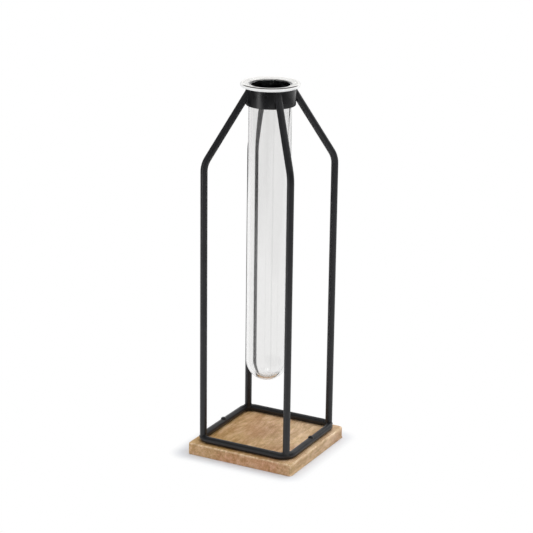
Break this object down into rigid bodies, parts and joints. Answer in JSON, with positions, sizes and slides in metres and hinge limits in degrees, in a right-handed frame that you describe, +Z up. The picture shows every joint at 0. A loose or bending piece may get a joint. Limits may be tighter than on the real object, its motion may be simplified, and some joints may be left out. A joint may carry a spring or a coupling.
{
  "type": "test tube vase",
  "caption": "Round-bottomed glass tube with a beaded lip, hung by the lip in a steel collar on a bent rod frame that stands on a square wood base.",
  "frame": {"origin": "centre of the wood base's underside", "axes": "+Z up along the collar's axis; +X and +Y square to the base's sides, with the left corner at -X -Y and the front corner at +X -Y"},
  "size_m": [0.1, 0.1, 0.3221],
  "materials": {
    "wood": "oiled, rough sawn",
    "black_steel": "satin powder coat",
    "clear_glass": "clear, polished",
    "black_screw": "black oxide"
  },
  "bodies": {
    "stand": {"wood_base": "wood", "base_ring": "black_steel", "post_left": "black_steel", "post_front": "black_steel", "post_right": "black_steel", "post_back": "black_steel", "collar": "black_steel", "screw_left": "black_screw", "screw_right": "black_screw"},
    "tube": {"glass_tube": "clear_glass"}
  },
  "joints": [
    {"name": "tube_lift", "type": "slide", "parent": "stand", "child": "tube", "axis": [0, 0, 1], "range_m": [0, 0.27]}
  ]
}
